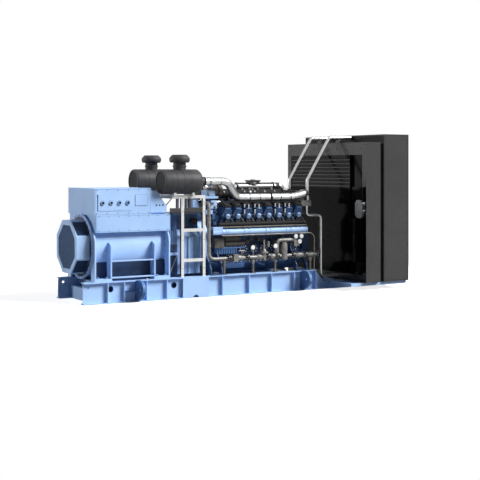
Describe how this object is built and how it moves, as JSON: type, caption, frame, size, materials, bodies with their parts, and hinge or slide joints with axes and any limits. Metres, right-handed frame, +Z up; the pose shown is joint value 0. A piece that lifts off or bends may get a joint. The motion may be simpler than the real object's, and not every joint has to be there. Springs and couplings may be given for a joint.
{
  "type": "gas generator set",
  "caption": "Open gas generator set on a beam skid: alternator with terminal box, V engine, gas train, twin air filters on a stand, and a large radiator at the end.",
  "frame": {"origin": "middle of the set's footprint, on the floor", "axes": "+X along the set from the alternator to the radiator, +Y to the side away from the gas train, +Z up"},
  "size_m": [6.92, 2.84, 3.137],
  "materials": {
    "painted_steel_blue": "light blue semi-gloss paint",
    "painted_steel_white": "white gloss paint",
    "painted_steel_black": "near-black semi-gloss powder coat",
    "dark_plastic": "matt dark grey moulded housing",
    "polished_steel": "polished bright tube",
    "cast_grey": "bare grey casting",
    "core_dark": "dark coated fins"
  },
  "bodies": {
    "root": {"air_filter_far": "dark_plastic", "air_filter_near": "dark_plastic", "alternator_body": "painted_steel_blue", "alternator_end_cover": "painted_steel_blue", "alternator_frame_far": "painted_steel_blue", "alternator_frame_near": "painted_steel_blue", "alternator_inlet_grille": "core_dark", "bell_housing": "painted_steel_blue", "charge_manifold_far": "cast_grey", "charge_manifold_near": "cast_grey", "charge_mixer": "cast_grey", "charge_pipe_far": "polished_steel", "charge_pipe_near": "polished_steel", "coolant_pipes": "polished_steel", "coolant_rail_far": "painted_steel_blue", "coolant_rail_near": "painted_steel_blue", "cylinder_heads_far": "painted_steel_blue", "cylinder_heads_near": "painted_steel_blue", "engine_block": "painted_steel_blue", "engine_mount_far_1": "painted_steel_blue", "engine_mount_far_2": "painted_steel_blue", "engine_mount_near_1": "painted_steel_blue", "engine_mount_near_2": "painted_steel_blue", "exhaust_collector": "polished_steel", "exhaust_manifolds": "cast_grey", "filter_stand_across": "painted_steel_white", "filter_stand_far": "painted_steel_white", "filter_stand_near": "painted_steel_white", "flywheel_housing": "painted_steel_blue", "front_gear_case": "painted_steel_blue", "gas_mixer": "painted_steel_blue", "gas_train": "cast_grey", "lifting_lug_far_1": "painted_steel_blue", "lifting_lug_far_2": "painted_steel_blue", "lifting_lug_near_1": "painted_steel_blue", "lifting_lug_near_2": "painted_steel_blue", "oil_pan": "painted_steel_blue", "radiator_base_arm_1": "painted_steel_blue", "radiator_base_arm_2": "painted_steel_blue", "radiator_base_arm_3": "painted_steel_blue", "radiator_base_beam_far": "painted_steel_blue", "radiator_base_beam_near": "painted_steel_blue", "radiator_base_edge_far": "painted_steel_blue", "radiator_base_edge_near": "painted_steel_blue", "radiator_core": "core_dark", "radiator_front_box": "painted_steel_black", "radiator_header": "painted_steel_black", "radiator_junction_box": "painted_steel_black", "radiator_rear_box": "painted_steel_black", "radiator_rear_guard": "painted_steel_black", "radiator_screen": "core_dark", "return_pipe": "polished_steel", "skid_beam_far": "painted_steel_blue", "skid_beam_near": "painted_steel_blue", "skid_cross_end": "painted_steel_blue", "skid_cross_engine": "painted_steel_blue", "skid_cross_front": "painted_steel_blue", "skid_cross_middle": "painted_steel_blue", "terminal_box": "painted_steel_blue", "terminal_panels": "painted_steel_blue"}
  },
  "joints": []
}
